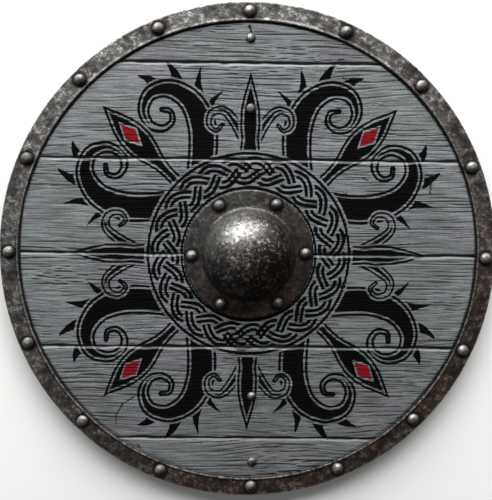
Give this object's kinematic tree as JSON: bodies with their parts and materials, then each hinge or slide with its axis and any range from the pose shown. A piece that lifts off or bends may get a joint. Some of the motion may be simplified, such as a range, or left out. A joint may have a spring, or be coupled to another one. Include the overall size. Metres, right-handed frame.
{
  "type": "wooden round shield",
  "caption": "Round shield of wooden planks with a riveted steel rim, a domed steel boss over the hand hole and a wooden grip bar across the back.",
  "frame": {"origin": "behind the middle of the boss, level with the grip bar's flat underside, where the shield lies on its back", "axes": "+Z out of the shield's front, +Y towards its top, +X to the right as one looks at the front"},
  "size_m": [0.61, 0.61, 0.0806],
  "materials": {
    "painted_wood": "matte",
    "bare_wood": "matte",
    "rim_steel": "satin",
    "boss_steel": "satin",
    "rivet_steel": "satin"
  },
  "bodies": {
    "root": {"plank_top": "painted_wood", "plank_upper": "painted_wood", "plank_upper_middle": "painted_wood", "plank_lower_middle": "painted_wood", "plank_lower": "painted_wood", "plank_bottom": "painted_wood", "rim": "rim_steel", "boss": "boss_steel", "grip_bar": "bare_wood", "rim_rivet_01": "rivet_steel", "rim_rivet_02": "rivet_steel", "rim_rivet_03": "rivet_steel", "rim_rivet_04": "rivet_steel", "rim_rivet_05": "rivet_steel", "rim_rivet_06": "rivet_steel", "rim_rivet_07": "rivet_steel", "rim_rivet_08": "rivet_steel", "rim_rivet_09": "rivet_steel", "rim_rivet_10": "rivet_steel", "rim_rivet_11": "rivet_steel", "rim_rivet_12": "rivet_steel", "rim_rivet_13": "rivet_steel", "rim_rivet_14": "rivet_steel", "rim_rivet_15": "rivet_steel", "rim_rivet_16": "rivet_steel", "boss_rivet_1": "rivet_steel", "boss_rivet_2": "rivet_steel", "boss_rivet_3": "rivet_steel", "boss_rivet_4": "rivet_steel", "boss_rivet_5": "rivet_steel", "boss_rivet_6": "rivet_steel", "grip_rivet_1": "rivet_steel", "grip_rivet_2": "rivet_steel", "grip_rivet_3": "rivet_steel", "grip_rivet_4": "rivet_steel"}
  },
  "joints": []
}
